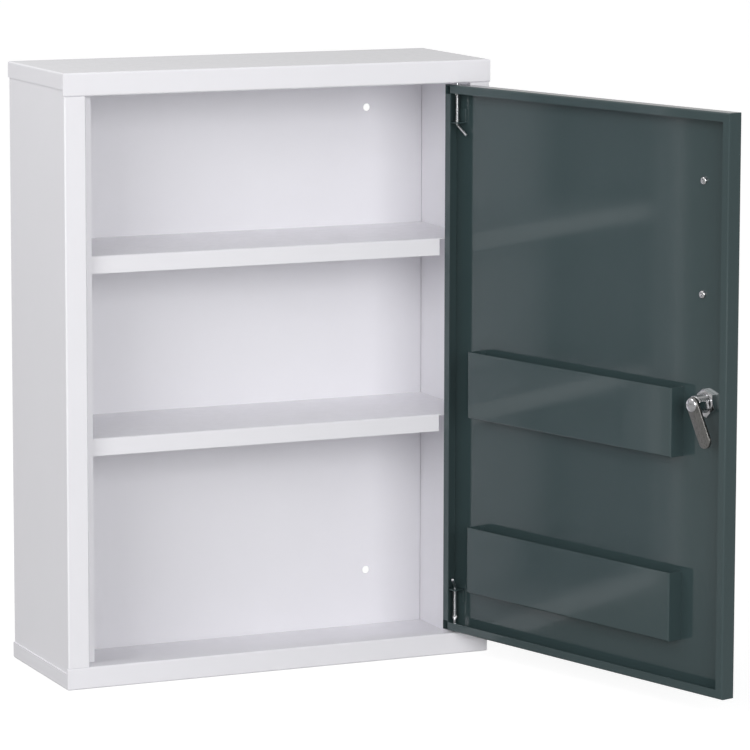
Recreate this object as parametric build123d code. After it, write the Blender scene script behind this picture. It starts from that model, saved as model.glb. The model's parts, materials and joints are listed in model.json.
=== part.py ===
from build123d import *
import math
import os

# Wall cabinet for medicines: a folded sheet steel body with two fixed shelves, and a folded door that
# turns on two sprung pins and is held shut by a cam lock.
#
# Frame: X to the right, -Y out of the wall towards the user, +Z up. The origin is the centre of the four
# wall holes, on the rear face of the back panel. The door is modelled shut and then swung open.

# ---- Driving dimensions, in millimetres and degrees ----

# Cabinet body
cabinet_width = 420.0
cabinet_height = 560.0
cabinet_depth = 150.0
sheet = 1.0
bend_inside = 0.5            # inside radius of every fold
top_rail_height = 21.0
bottom_rail_height = 20.0
rail_return = 17.0           # flange turned back from the inner edge of each front rail
cap_skirt = 15.0             # sides and back of the two caps
stile_width = 20.5
stop_flange = 11.0           # flange of the left stile that the door and the cam meet
back_flange = 12.0           # flange of each side panel that carries the back panel
stile_end_gap = 0.2          # butt joint between stile and rail
stop_end_gap = 1.0           # open slit between stop flange and rail
wall_hole_diameter = 7.0
wall_hole_spacing_x = 300.0
wall_hole_spacing_z = 450.0

# Shelves
upper_shelf_rise = 392.5     # top faces above the underside of the cabinet
lower_shelf_rise = 226.0
shelf_lip = 16.0
shelf_setback = 20.0         # front lip behind the front of the cabinet
shelf_lip_cutback = 40.0     # lip cut short beside the hinge

# Door
door_thickness = 15.0
door_lip = 8.0
door_side_gap = 1.6
door_end_gap = 1.8
stop_gap = 0.6               # between the shut door and the stop flange
corner_notch_width = 7.5     # relief of the lips at the two hinge corners
corner_notch_height = 9.0
door_open_deg = 105.67

# Pockets on the inside of the door
pocket_height = 62.0
pocket_depth = 15.3
pocket_flange = 8.0
pocket_inset = 36.0          # from the hinge end of the door
pocket_nut_gap = 19.5        # from the lock's nut
upper_pocket_rise = 206.5    # pocket floors above the lower edge of the door
lower_pocket_rise = 41.0

# Sprung hinge pins
hinge_inset = 8.5            # axis from the hinge end of the door
hinge_setback = 7.0          # axis behind the front face of the door
pin_diameter = 2.4
pin_clearance = 0.1          # radial
pin_reach = 1.2              # pin tip beyond the rail's return flange
pin_chamfer = 0.4
upper_bracket_distance = 34.8  # spring face of the bracket's tab from the edge of the door
lower_bracket_distance = 38.2
bracket_width = 14.0
bracket_depth = 12.0         # tab beyond the door's skin
bracket_leg = 12.0
bracket_sheet = 1.2
lever_length = 16.0
lever_slope_deg = 51.0
lever_bend_radius = 2.6
lever_gap = 0.3              # bend of the lever from the tab
upper_lever_turn_deg = 8.0   # from the door's own direction, towards its skin
lower_lever_turn_deg = -51.0
spring_length = 25.0
spring_wire = 0.6
spring_bore_gap = 0.2        # radial, between rod and spring
spring_turns = 9
spring_seat_gap = 0.1
spring_wire_sides = 4        # the fine wire is drawn square
ear_length = 4.6
ear_span = 5.4
ear_shoulder = 0.8
ear_thickness = 1.4

# Pull handle
handle_pitch = 100.0
handle_inset = 44.0          # screws from the free edge of the door
handle_drop = 112.7          # middle of the handle below the upper edge of the door
handle_projection = 28.0
handle_rod = 9.0
handle_bend_radius = 14.0
handle_rod_sides = 8
screw_diameter = 4.0
screw_length = 12.0
screw_head_diameter = 7.2
screw_head_height = 2.4
screw_clearance = 0.2        # radial, in the door
thread_fit = 0.05            # radial, between mated threads
tap_allowance = 1.0          # tapped hole beyond the end of its screw
recess_width = 0.9
recess_length = 3.8
recess_depth = 1.2

# Cam lock
lock_inset = 36.4            # axis from the free edge of the door
lock_head_diameter = 21.0
lock_head_height = 3.0
lock_barrel_diameter = 16.0
lock_barrel_flats = 14.0
lock_hole_clearance = 0.2    # radial
lock_head_chamfer = 0.8
nut_across_flats = 22.0
nut_thickness = 5.0
nut_chamfer_deg = 30.0
nut_turn_deg = 11.5          # of its upper corner, towards the hinge
plug_diameter = 10.0
plug_clearance = 0.1         # radial
plug_head_diameter = 12.4
plug_head_height = 2.0
plug_square = 6.8
keyway_width = 1.6
keyway_height = 7.4
keyway_depth = 15.0
wafer_count = 5
wafer_pitch = 2.3
wafer_start = 3.0            # first wafer behind the plug's face
wafer_thickness = 1.0
wafer_width = 6.0
wafer_clearance = 0.15
wafer_window_width = 2.4
wafer_window_height = 5.0
cam_offset = 17.0            # cam from the inner face of the door's skin
cam_gap = 0.3                # between barrel and cam
cam_width = 14.0
cam_reach = 40.5             # axis to tip
cam_thickness = 2.5
cam_edge_chamfer = 0.4
cam_hole_clearance = 0.05
cam_rest_deg = 27.4          # from straight down, towards the free edge of the door
cam_screw_diameter = 3.5
cam_screw_length = 8.0
cam_screw_head_diameter = 12.5
cam_screw_head_height = 2.6
cam_screw_rim = 0.9          # straight edge of the head, below its crown
cam_screw_crown_diameter = 7.0
cam_screw_slot_width = 0.9
cam_screw_slot_depth = 0.9

# ---- Places that follow from them ----

fold_radius = bend_inside + sheet
rear_y = sheet                                   # rear of the caps and of the back flanges
front_y = rear_y - cabinet_depth
top_z = cabinet_height / 2
bottom_z = -cabinet_height / 2
skirt_x = cabinet_width / 2 - sheet              # outer face of the side panels
wall_x = skirt_x - sheet                         # inner face of the side panels
opening_x = cabinet_width / 2 - stile_width
opening_top = top_z - top_rail_height
opening_bottom = bottom_z + bottom_rail_height
stop_y = front_y + door_thickness + stop_gap     # front face of the stop flange

door_left = door_side_gap - opening_x
door_right = opening_x - door_side_gap
door_bottom = opening_bottom + door_end_gap
door_top = opening_top - door_end_gap
door_middle = (door_bottom + door_top) / 2
skin_y = front_y + sheet                         # inner face of the door's skin

hinge_x = door_right - hinge_inset
hinge_y = front_y + hinge_setback
hinge_axis = Axis((hinge_x, hinge_y, 0), (0, 0, 1))
pin_hole_diameter = pin_diameter + 2 * pin_clearance
lock_x = door_left + lock_inset
handle_x = door_left + handle_inset
handle_z = door_top - handle_drop


def box_between(low, high):
    """Block between two opposite corners."""
    size = [b - a for a, b in zip(low, high)]
    corner = (Align.MIN, Align.MIN, Align.MIN)
    return Pos(*low) * Box(*size, align=corner)


def upright_hole(x, y, diameter, low, high):
    """Cylinder along Z, to be cut away."""
    base = (Align.CENTER, Align.CENTER, Align.MIN)
    return Pos(x, y, low) * Cylinder(diameter / 2, high - low, align=base)


def folded_sheet(points, height):
    """Upright sheet whose middle line runs through the points, with every fold rounded."""
    middle_line = FilletPolyline(*points, radius=bend_inside + sheet / 2)
    return extrude(trace(middle_line, line_width=sheet), amount=height, dir=(0, 0, 1))


# ---- Cabinet body ----

def cap(rail_height):
    """Tray that closes one end of the body. Its plate lies at z = 0 and its front rail hangs down.

    The rail's inner edge is turned back as a flange that carries the door's pin.
    """
    block = box_between((-cabinet_width / 2, front_y, -rail_height), (cabinet_width / 2, rear_y, 0))
    lower_fold = block.edges().group_by(Axis.Z)[0].sort_by(Axis.Y)[0]
    block = fillet(block.edges().group_by(Axis.Z)[-1] + [lower_fold], fold_radius)
    block -= box_between((-skirt_x, front_y + sheet, -rail_height), (skirt_x, rear_y - sheet, -sheet))
    outside = cabinet_width / 2
    block -= box_between((-outside, front_y + sheet, -rail_height), (outside, rear_y, -cap_skirt))
    flange_low = (-wall_x, front_y + sheet, -rail_height)
    flange_high = (wall_x, front_y + sheet + rail_return, sheet - rail_height)
    block += box_between(flange_low, flange_high)
    return block - upright_hole(hinge_x, hinge_y, pin_hole_diameter, -rail_height, sheet - rail_height)


def top_cap():
    return Pos(0, 0, top_z) * cap(top_rail_height)


def bottom_cap():
    return Pos(0, 0, bottom_z) * mirror(cap(bottom_rail_height), about=Plane.XY)


def side_panel(side, stile_points):
    """Side wall with its back flange and its stile. side is -1 on the left and 1 on the right."""
    half = sheet / 2
    middle_x = skirt_x - half
    spine = [(skirt_x - back_flange, rear_y - half), (middle_x, rear_y - half), (middle_x, front_y + half)]
    points = [(side * x, y) for x, y in spine + stile_points]
    low, high = bottom_z + sheet, top_z - sheet
    panel = Pos(0, 0, low) * folded_sheet(points, high - low)
    ends = [(low, opening_bottom, 1), (opening_top, high, -1)]
    for end_low, end_high, inward in ends:
        far_x = side * wall_x
        flange_cut_low = end_low + min(0, inward) * stile_end_gap
        flange_cut_high = end_high + max(0, inward) * stile_end_gap
        # the front of the end makes room for the rail
        panel -= box_between((-skirt_x, front_y, flange_cut_low), (skirt_x, skin_y, flange_cut_high))
        x_low, x_high = sorted((far_x, 0))
        front_low = (x_low, front_y, flange_cut_low)
        panel -= box_between(front_low, (x_high, stop_y + 2 * sheet, flange_cut_high))
        slit_low = end_low + min(0, inward) * stop_end_gap
        slit_high = end_high + max(0, inward) * stop_end_gap
        slit_front = (x_low, skin_y + bend_inside, slit_low)
        panel -= box_between(slit_front, (x_high, stop_y + 2 * sheet, slit_high))
    # the back flange stops at the skirts of the caps
    for end_low, end_high in [(low, bottom_z + cap_skirt), (top_z - cap_skirt, high)]:
        panel -= box_between((-skirt_x, 0, end_low), (skirt_x, rear_y, end_high))
    return panel


def left_side_panel():
    """Its stile returns along the door's edge and ends in the stop flange."""
    half = sheet / 2
    stile = [
        (opening_x - half, front_y + half),
        (opening_x - half, stop_y + half),
        (opening_x - stop_flange, stop_y + half),
    ]
    return side_panel(-1, stile)


def right_side_panel():
    """Its stile is a plain flange, so the heel of the door can turn in behind it."""
    return side_panel(1, [(opening_x, front_y + sheet / 2)])


def back_panel():
    edge_x = wall_x - bend_inside
    panel = box_between((-edge_x, -sheet, bottom_z + sheet), (edge_x, 0, top_z - sheet))
    corners = GridLocations(wall_hole_spacing_x, wall_hole_spacing_z, 2, 2)
    hole = Cylinder(wall_hole_diameter / 2, 4 * sheet)
    return panel - [Plane.XZ * corner * hole for corner in corners]


def shelf(top):
    """Fixed tray with a lip at the front and welding flanges at the sides and back."""
    shelf_front = front_y + shelf_setback
    base = top - shelf_lip
    tray = box_between((-wall_x, shelf_front, base), (wall_x, -sheet, top))
    tray = fillet(tray.edges().group_by(Axis.Z)[-1].sort_by(Axis.Y)[0], fold_radius)
    hollow_low = (sheet - wall_x, shelf_front + sheet, base)
    tray -= box_between(hollow_low, (wall_x - sheet, -2 * sheet, top - sheet))
    lip_end = wall_x - shelf_lip_cutback
    return tray - box_between((lip_end, shelf_front, base), (wall_x - sheet, shelf_front + sheet, top - sheet))


# ---- Door ----

def door_panel():
    """Folded tray: skin at the front, four returns, and a lip all round the open side."""
    back_y = front_y + door_thickness
    panel = box_between((door_left, front_y, door_bottom), (door_right, back_y, door_top))
    folds = panel.edges().filter_by(Axis.X) + panel.edges().filter_by(Axis.Z)
    panel = fillet(folds, fold_radius)
    hollow_low = (door_left + sheet, skin_y, door_bottom + sheet)
    panel -= box_between(hollow_low, (door_right - sheet, back_y - sheet, door_top - sheet))
    window_low = (door_left + door_lip, back_y - sheet, door_bottom + door_lip)
    panel -= box_between(window_low, (door_right - door_lip, back_y, door_top - door_lip))
    notch_x = door_right - corner_notch_width
    for low, high in [
        (door_bottom + sheet, door_bottom + corner_notch_height),
        (door_top - corner_notch_height, door_top - sheet),
    ]:
        panel -= box_between((notch_x, back_y - sheet, low), (door_right - sheet, back_y, high))
    panel -= upright_hole(hinge_x, hinge_y, pin_hole_diameter, door_bottom, door_top)
    panel -= at_lock(extrude(barrel_section(lock_hole_clearance), amount=sheet))
    screw_hole = Cylinder(screw_diameter / 2 + screw_clearance, 4 * sheet)
    return panel - [place * screw_hole for place in handle_places()]


def door_pocket(rise):
    """Tray open at the top, with flanges turned in against the door's skin."""
    right = door_right - pocket_inset
    left = lock_x + nut_across_flats / 2 + pocket_nut_gap
    base = door_bottom + rise
    top = base + pocket_height
    face_y = skin_y + pocket_depth
    pocket = box_between((left, skin_y, base), (right, face_y, top))
    folds = pocket.edges().filter_by(Axis.Z).group_by(Axis.Y)[-1]
    folds = folds + [pocket.edges().group_by(Axis.Z)[0].sort_by(Axis.Y)[-1]]
    pocket = fillet(folds, fold_radius)
    pocket -= box_between((left + sheet, skin_y + sheet, base + sheet), (right - sheet, face_y - sheet, top))
    window_low = (left + pocket_flange, skin_y, base + pocket_flange)
    return pocket - box_between(window_low, (right - pocket_flange, skin_y + sheet, top))


# ---- Sprung hinge pins ----
# Each assembly is drawn for the upper corner, with z = 0 at the door's edge and the door below it.

def hinge_bracket(distance):
    """Angle welded to the door's skin, whose tab guides the rod and carries the spring."""
    tab_top = -distance
    left, right = hinge_x - bracket_width / 2, hinge_x + min(bracket_width / 2, hinge_inset - sheet)
    bracket = box_between((left, skin_y, tab_top - bracket_sheet), (right, skin_y + bracket_depth, tab_top))
    corners = bracket.edges().filter_by(Axis.Z).group_by(Axis.Y)[-1]
    bracket = chamfer(corners, bracket_sheet)
    bracket += box_between((left, skin_y, tab_top), (right, skin_y + bracket_sheet, tab_top + bracket_leg))
    return bracket - upright_hole(hinge_x, hinge_y, pin_hole_diameter, tab_top - bracket_sheet, tab_top)


def hinge_pin(distance, lever_turn_deg):
    """Rod with a bent lever at one end and two ears pinched out of it where the spring pushes."""
    tip = door_end_gap + sheet + pin_reach
    bend_start = -distance - bracket_sheet - lever_gap
    slope = math.radians(lever_slope_deg)
    bend_height = lever_bend_radius * math.sin(slope)
    bend_out = lever_bend_radius * (1 - math.cos(slope))
    straight = lever_length - lever_bend_radius * slope
    bend_end = (bend_out, 0, bend_start - bend_height)
    lever_end = (
        bend_out + straight * math.sin(slope),
        0,
        bend_start - bend_height - straight * math.cos(slope),
    )
    path = Wire([
        Edge.make_line((0, 0, tip), (0, 0, bend_start)),
        Edge.make_tangent_arc((0, 0, bend_start), (0, 0, -1), bend_end),
        Edge.make_line(bend_end, lever_end),
    ])
    rod = sweep(Pos(0, 0, tip) * Circle(pin_diameter / 2), path=path)
    rod = chamfer(rod.edges().sort_by(Axis.Z)[-1], pin_chamfer)
    ear_base = spring_length - distance
    half = ear_span / 2
    ears = Polyline(
        (-half, ear_base),
        (half, ear_base),
        (half, ear_base + ear_shoulder),
        (pin_diameter / 2, ear_base + ear_length),
        (-pin_diameter / 2, ear_base + ear_length),
        (-half, ear_base + ear_shoulder),
        close=True,
    )
    rod += extrude(Plane.YZ * make_face(ears), amount=ear_thickness / 2, both=True)
    return Pos(hinge_x, hinge_y, 0) * Rot(0, 0, 180 + lever_turn_deg) * rod


def pin_spring(distance):
    """Compression spring round the rod, from the bracket's tab to the ears.

    The wire follows a helix made of biarcs, each half a turn, and ends in a short straight tail.
    """
    radius = pin_diameter / 2 + spring_bore_gap + spring_wire / 2
    low = -distance + spring_seat_gap + spring_wire / 2
    high = spring_length - distance - spring_seat_gap - spring_wire / 2
    steps = 2 * spring_turns
    rise = (high - low) / steps
    tangent_rise = rise / (math.pi * radius)

    def place(step):
        angle = math.pi * step
        return Vector(radius * math.cos(angle), radius * math.sin(angle), low + rise * step)

    def heading(step):
        angle = math.pi * step
        return Vector(-math.sin(angle), math.cos(angle), tangent_rise).normalized()

    first, last = place(0), place(steps)
    edges = [Edge.make_line(first - heading(0) * spring_wire, first)]
    for step in range(steps):
        start, end = place(step), place(step + 1)
        leaving, arriving = heading(step), heading(step + 1)
        chord = end - start
        turned = 2 * (1 - leaving.dot(arriving))
        along = chord.dot(leaving + arriving)
        reach = (math.sqrt(along * along + turned * chord.dot(chord)) - along) / turned
        middle = (start + end + (leaving - arriving) * reach) / 2
        edges.append(Edge.make_tangent_arc(start, leaving, middle))
        edges.append(Edge.make_tangent_arc(end, arriving * -1, middle))
    edges.append(Edge.make_line(last, last + heading(steps) * spring_wire))
    print("least gap between the turns of a spring:", round(least_gap(place, steps), 3))
    section = Plane(origin=edges[0] @ 0, z_dir=heading(0)) * RegularPolygon(spring_wire / 2, spring_wire_sides)
    return Pos(hinge_x, hinge_y, 0) * sweep(section, path=Wire(edges))


def least_gap(place, steps):
    """Smallest clear space of the wire to itself, measured on points a twelfth of a turn apart."""
    parts = 6
    points = [place(i / parts) for i in range(steps * parts + 1)]
    apart = parts + 1
    pairs = [(a, b) for i, a in enumerate(points) for b in points[i + apart:i + 3 * apart]]
    return min((b - a).length for a, b in pairs) - spring_wire


def at_upper_pin(piece):
    return Pos(0, 0, door_top) * piece


def at_lower_pin(piece):
    return Pos(0, 0, door_bottom) * mirror(piece, about=Plane.XY)


# ---- Pull handle ----

def handle_places():
    """Both screw axes, with local Z pointing into the cabinet from the door's front face."""
    ends = [handle_z + handle_pitch / 2, handle_z - handle_pitch / 2]
    return [Plane(origin=(handle_x, front_y, z), x_dir=(1, 0, 0), z_dir=(0, 1, 0)).location for z in ends]


def pull_handle():
    """Bow bent from rod, tapped at both ends."""
    half = handle_pitch / 2
    out = handle_projection - handle_rod / 2
    bow = FilletPolyline((0, 0, half), (0, -out, half), (0, -out, -half), (0, 0, -half), radius=handle_bend_radius)
    section = Plane(origin=(0, 0, half), z_dir=(0, -1, 0)) * RegularPolygon(handle_rod / 2, handle_rod_sides)
    rod = Pos(handle_x, front_y, handle_z) * sweep(section, path=bow)
    depth = screw_length - sheet + tap_allowance
    tapped_hole = extrude(Circle(screw_diameter / 2 + thread_fit), amount=-depth)
    return rod - [place * tapped_hole for place in handle_places()]


def handle_screws():
    """Two pan head screws through the door's skin."""
    screw = extrude(Circle(screw_head_diameter / 2), amount=screw_head_height)
    screw = chamfer(screw.edges().group_by(Axis.Z)[-1], screw_head_height / 2)
    screw += extrude(Circle(screw_diameter / 2), amount=-screw_length)
    recess = Box(recess_length, recess_width, 2 * recess_depth) + Box(recess_width, recess_length, 2 * recess_depth)
    screw -= Pos(0, 0, screw_head_height) * recess
    return [place * Pos(0, 0, sheet) * screw for place in handle_places()]


# ---- Cam lock ----
# Drawn along local Z, which points into the cabinet from the door's front face. Local Y points down.

lock_plane = Plane(origin=(lock_x, front_y, door_middle), x_dir=(1, 0, 0), z_dir=(0, 1, 0))
cam_base = sheet + cam_offset
cam_top = cam_base + cam_thickness


def at_lock(piece):
    return lock_plane.location * piece


def turned_to_rest(piece):
    return Rot(0, 0, cam_rest_deg) * piece


def barrel_section(clearance):
    """Round with two flats, which keep the barrel from turning in the door."""
    return Circle(lock_barrel_diameter / 2 + clearance) & Rectangle(lock_barrel_flats + 2 * clearance, cabinet_depth)


def lock_housing():
    """Head on the outside of the door and a long barrel with a stepped bore."""
    head = Pos(0, 0, -lock_head_height / 2) * Cylinder(lock_head_diameter / 2, lock_head_height)
    head = chamfer(head.edges().group_by(Axis.Z)[0], lock_head_chamfer)
    barrel = extrude(barrel_section(0), amount=cam_base - cam_gap)
    bore = Circle(plug_diameter / 2 + plug_clearance)
    counterbore = Circle(plug_head_diameter / 2 + plug_clearance)
    housing = head + barrel
    housing -= Pos(0, 0, -lock_head_height) * extrude(bore, amount=lock_head_height + cam_base)
    counterbore_depth = plug_head_height + plug_clearance
    return housing - Pos(0, 0, -lock_head_height) * extrude(counterbore, amount=counterbore_depth)


def lock_nut():
    """Hexagon nut, a little off corner up, bevelled on its open face."""
    corner_radius = nut_across_flats / math.sqrt(3)
    blank = extrude(Rot(0, 0, 30 + nut_turn_deg) * RegularPolygon(corner_radius, 6), amount=nut_thickness)
    bevel = (corner_radius - nut_across_flats / 2) * math.tan(math.radians(nut_chamfer_deg))
    disc = Polyline(
        (0, 0),
        (corner_radius, 0),
        (corner_radius, nut_thickness - bevel),
        (nut_across_flats / 2, nut_thickness),
        (0, nut_thickness),
        close=True,
    )
    blank &= revolve(Plane.XZ * make_face(disc), Axis.Z)
    blank -= Cylinder(lock_barrel_diameter / 2 + thread_fit, 3 * nut_thickness)
    return Pos(0, 0, sheet) * blank


def wafer_places():
    first = wafer_start - lock_head_height
    return [Pos(0, 0, first + wafer_pitch * i) for i in range(wafer_count)]


def lock_plug():
    """Round core with a headed face, a keyway, a slot for each wafer and a square tail for the cam."""
    face = -lock_head_height
    plug = Pos(0, 0, face) * extrude(Circle(plug_diameter / 2), amount=cam_base - cam_gap / 2 - face)
    plug += Pos(0, 0, face) * extrude(Circle(plug_head_diameter / 2), amount=plug_head_height)
    plug += extrude(Rectangle(plug_square, plug_square), amount=cam_top - cam_gap / 2)
    keyway = Rectangle(keyway_width, keyway_height)
    plug -= Pos(0, 0, face) * extrude(keyway, amount=keyway_depth)
    slot = Rectangle(wafer_width + 2 * wafer_clearance, plug_head_diameter)
    slot_depth = wafer_thickness + 2 * wafer_clearance
    for place in wafer_places():
        plug -= Pos(0, 0, -wafer_clearance) * place * extrude(slot, amount=slot_depth)
    tapped = Circle(cam_screw_diameter / 2 + thread_fit)
    tapped_depth = cam_screw_length + tap_allowance
    plug -= Pos(0, 0, cam_top - tapped_depth) * extrude(tapped, amount=tapped_depth)
    return turned_to_rest(plug)


def lock_wafers():
    """Brass plates that the key lines up, one to a slot."""
    blank = Rectangle(wafer_width, plug_diameter) & Circle(plug_diameter / 2 - wafer_clearance)
    blank -= Rectangle(wafer_window_width, wafer_window_height)
    wafer = extrude(blank, amount=wafer_thickness)
    return [turned_to_rest(place * wafer) for place in wafer_places()]


def lock_cam():
    """Flat bar with round ends that turns in behind the stop flange."""
    span = cam_reach - cam_width / 2
    bar = Pos(0, span / 2) * Rot(0, 0, 90) * SlotCenterToCenter(span, cam_width)
    cam = extrude(bar, amount=cam_thickness)
    cam = chamfer(cam.edges().group_by(Axis.Z)[-1], cam_edge_chamfer)
    hole = plug_square + 2 * cam_hole_clearance
    cam -= extrude(Rectangle(hole, hole), amount=cam_thickness)
    return turned_to_rest(Pos(0, 0, cam_base) * cam)


def cam_screw():
    """Slotted screw whose crowned head is wider than the plug's square tail."""
    radius = cam_screw_head_diameter / 2
    height = cam_screw_head_height
    outline = Polyline(
        (0, -cam_screw_length),
        (cam_screw_diameter / 2, -cam_screw_length),
        (cam_screw_diameter / 2, 0),
        (radius, 0),
        (radius, cam_screw_rim),
        (cam_screw_crown_diameter / 2, height),
        (0, height),
        close=True,
    )
    screw = revolve(Plane.XZ * make_face(outline), Axis.Z)
    screw -= Pos(0, 0, height) * Box(cam_screw_head_diameter, cam_screw_slot_width, 2 * cam_screw_slot_depth)
    return Pos(0, 0, cam_top) * screw


# ---- Assembly ----

def opened(piece):
    """Swings a piece of the shut door to the angle at which the cabinet is shown."""
    return piece.rotate(hinge_axis, door_open_deg)


def solids_of(piece):
    pieces = piece if isinstance(piece, list) else [piece]
    return [solid for each in pieces for solid in each.solids()]


cabinet_pieces = {
    "top_cap": top_cap(),
    "bottom_cap": bottom_cap(),
    "left_side_panel": left_side_panel(),
    "right_side_panel": right_side_panel(),
    "back_panel": back_panel(),
    "upper_shelf": shelf(bottom_z + upper_shelf_rise),
    "lower_shelf": shelf(bottom_z + lower_shelf_rise),
}

door_pieces = {
    "door_panel": door_panel(),
    "upper_door_pocket": door_pocket(upper_pocket_rise),
    "lower_door_pocket": door_pocket(lower_pocket_rise),
    "upper_hinge_bracket": at_upper_pin(hinge_bracket(upper_bracket_distance)),
    "lower_hinge_bracket": at_lower_pin(hinge_bracket(lower_bracket_distance)),
    "upper_hinge_pin": at_upper_pin(hinge_pin(upper_bracket_distance, upper_lever_turn_deg)),
    "lower_hinge_pin": at_lower_pin(hinge_pin(lower_bracket_distance, lower_lever_turn_deg)),
    "upper_pin_spring": at_upper_pin(pin_spring(upper_bracket_distance)),
    "lower_pin_spring": at_lower_pin(pin_spring(lower_bracket_distance)),
    "pull_handle": pull_handle(),
    "handle_screws": handle_screws(),
    "lock_housing": at_lock(lock_housing()),
    "lock_nut": at_lock(lock_nut()),
    "lock_plug": at_lock(lock_plug()),
    "lock_wafers": [at_lock(wafer) for wafer in lock_wafers()],
    "lock_cam": at_lock(lock_cam()),
    "cam_screw": at_lock(cam_screw()),
}

os.makedirs("parts", exist_ok=True)
for name, piece in cabinet_pieces.items():
    export_step(Compound(children=solids_of(piece)), f"parts/{name}.step")
for name, piece in door_pieces.items():
    swung = [opened(solid) for solid in solids_of(piece)]
    export_step(Compound(children=swung), f"parts/{name}.step")
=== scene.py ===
import json
import math

import bpy
import numpy as np
from bpy.props import FloatProperty, FloatVectorProperty, IntProperty, PointerProperty
from bpy.types import Operator, Panel, PropertyGroup
from mathutils import Matrix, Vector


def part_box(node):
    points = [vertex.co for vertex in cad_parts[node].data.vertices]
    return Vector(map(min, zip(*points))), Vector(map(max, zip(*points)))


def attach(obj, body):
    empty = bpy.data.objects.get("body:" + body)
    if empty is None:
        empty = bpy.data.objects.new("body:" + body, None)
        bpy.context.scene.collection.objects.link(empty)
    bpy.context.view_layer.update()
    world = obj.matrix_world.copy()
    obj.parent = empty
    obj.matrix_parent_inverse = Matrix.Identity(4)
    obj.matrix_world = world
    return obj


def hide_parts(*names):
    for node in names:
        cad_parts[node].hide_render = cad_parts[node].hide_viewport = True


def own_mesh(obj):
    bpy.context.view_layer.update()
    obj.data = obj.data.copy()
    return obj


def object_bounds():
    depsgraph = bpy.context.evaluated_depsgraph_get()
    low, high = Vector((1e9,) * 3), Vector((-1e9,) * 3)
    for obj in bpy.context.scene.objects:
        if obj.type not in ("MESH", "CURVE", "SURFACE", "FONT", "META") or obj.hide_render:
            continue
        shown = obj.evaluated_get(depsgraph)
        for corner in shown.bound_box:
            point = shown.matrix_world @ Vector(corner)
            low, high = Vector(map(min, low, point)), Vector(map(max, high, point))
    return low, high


bl_info = {
    "name": "Lockable Medicine Cabinet",
    "version": (1, 0, 0),
    "blender": (4, 5, 0),
    "location": "View3D > Sidebar > Cabinet",
    "description": "Paint, hinge pins, lock and handle of a folded steel wall cabinet",
    "category": "Add Mesh",
}

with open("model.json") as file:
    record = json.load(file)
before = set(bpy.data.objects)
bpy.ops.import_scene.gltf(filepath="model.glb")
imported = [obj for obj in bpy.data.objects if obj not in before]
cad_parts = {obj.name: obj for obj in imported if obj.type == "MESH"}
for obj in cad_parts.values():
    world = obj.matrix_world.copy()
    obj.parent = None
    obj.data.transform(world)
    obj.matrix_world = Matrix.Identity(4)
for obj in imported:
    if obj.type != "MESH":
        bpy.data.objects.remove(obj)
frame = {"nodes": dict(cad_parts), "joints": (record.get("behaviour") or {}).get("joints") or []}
CAD_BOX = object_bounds()
MM = 0.001


def joint(name):
    """Joint of the frame, by its name."""
    return next(j for j in frame["joints"] if j["name"] == name)


# The shut door is turned about its pins to the angle at which the cabinet stands open.
HINGE = joint("door_hinge")
HINGE_PLACE = np.array(HINGE["pos_m"])
DOOR_OPEN = math.radians(-HINGE["range_deg"][0])
LOCK = joint("lock_turn")
LOCK_PLACE = np.array(LOCK["pos_m"])
CAM_REST = math.radians(-LOCK["range_deg"][0])

# The shut door's front face is level with the cabinet's front, and its skin is one sheet thick.
SHUT_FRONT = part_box("left_side_panel")[0].y
SHEET = 1 * MM

CABINET_NODES = (
    "top_cap", "bottom_cap", "left_side_panel", "right_side_panel",
    "back_panel", "upper_shelf", "lower_shelf",
)
DOOR_NODES = (
    "door_panel", "upper_door_pocket", "lower_door_pocket",
    "upper_hinge_bracket", "lower_hinge_bracket",
)


# ---- Sizes and colours ----

class CabinetPaint(PropertyGroup):
    body_colour: FloatVectorProperty(
        name="Body Colour", description="Powder coat of the cabinet", subtype="COLOR",
        default=(0.92, 0.912, 0.95), min=0, max=1)
    door_colour: FloatVectorProperty(
        name="Door Colour", description="Powder coat of the door and its pockets", subtype="COLOR",
        default=(0.045, 0.071, 0.074), min=0, max=1)
    peel_size: FloatProperty(
        name="Peel Size", description="Distance between the ripples of the paint", unit="LENGTH",
        default=2.4 * MM)


class CabinetHardware(PropertyGroup):
    spring_turns: IntProperty(
        name="Spring Turns", description="Working turns of each pin's spring", default=12)
    dead_turns: FloatProperty(
        name="Closed Turns", description="Turns laid together at each end of a spring",
        default=1.25)
    wire_diameter: FloatProperty(
        name="Spring Wire", description="Diameter of the spring wire", unit="LENGTH",
        default=0.7 * MM)
    pin_diameter: FloatProperty(
        name="Pin Diameter", description="Diameter of the hinge pins", unit="LENGTH",
        default=2.4 * MM)
    upper_lever: FloatProperty(
        name="Upper Lever", description="Turn of the upper pin's lever towards the door's skin",
        unit="ROTATION", default=math.radians(8))
    lower_lever: FloatProperty(
        name="Lower Lever", description="Turn of the lower pin's lever towards the door's skin",
        unit="ROTATION", default=math.radians(-51))
    handle_rod: FloatProperty(
        name="Handle Rod", description="Diameter of the pull handle's rod", unit="LENGTH",
        default=9 * MM)
    handle_bend: FloatProperty(
        name="Handle Bend",
        description="Radius of the handle's two bends, at the middle of the rod",
        unit="LENGTH", default=14 * MM)
    thread_pitch: FloatProperty(
        name="Thread Pitch", description="Pitch of the thread on the lock's barrel", unit="LENGTH",
        default=1 * MM)
    screw_head: FloatProperty(
        name="Screw Head", description="Diameter of the handle screws' heads", unit="LENGTH",
        default=7.2 * MM)


class CabinetStage(PropertyGroup):
    floor_colour: FloatVectorProperty(
        name="Floor Colour", description="Plain floor under the cabinet", subtype="COLOR",
        default=(0.45, 0.45, 0.45), min=0, max=1)
    floor_radius: FloatProperty(
        name="Floor Radius", description="Reach of the floor", unit="LENGTH", default=30)


# ---- Shapes ----

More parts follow.
